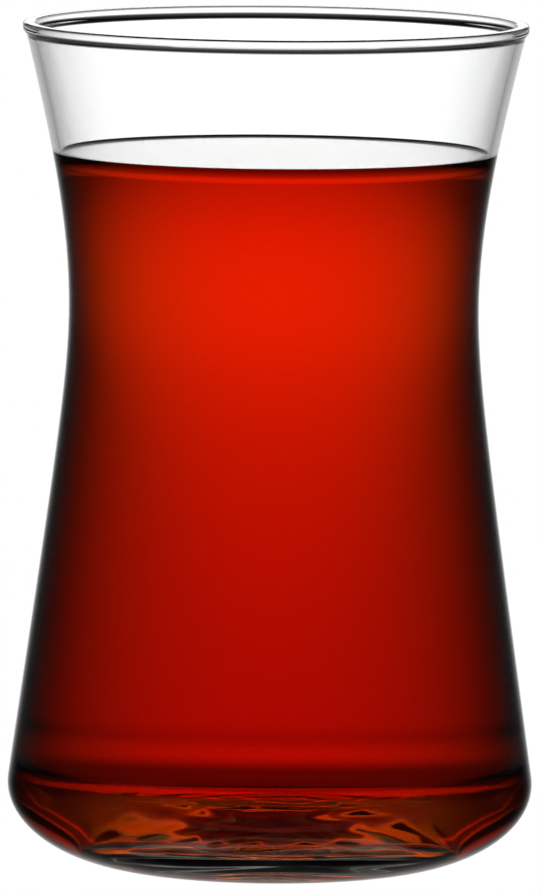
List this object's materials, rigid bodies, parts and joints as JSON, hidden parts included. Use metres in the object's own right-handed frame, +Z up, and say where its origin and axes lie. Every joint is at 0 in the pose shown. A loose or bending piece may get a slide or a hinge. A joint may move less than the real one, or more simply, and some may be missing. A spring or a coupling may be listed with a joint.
{
  "type": "turkish tea glass filled with tea",
  "caption": "Waisted Turkish tea glass of clear glass with a rounded rim and a thick round base, filled with black tea to below the rim.",
  "frame": {"origin": "centre of the foot, at table level", "axes": "+Z up along the glass's axis; the glass is round, so +X and +Y are alike, and the picture looks along +Y"},
  "size_m": [0.0604, 0.0604, 0.0975],
  "materials": {
    "clear_glass": "polished clear soda-lime glass",
    "black_tea": "clear deep red liquid"
  },
  "bodies": {
    "root": {"glass": "clear_glass", "tea": "black_tea"}
  },
  "joints": []
}
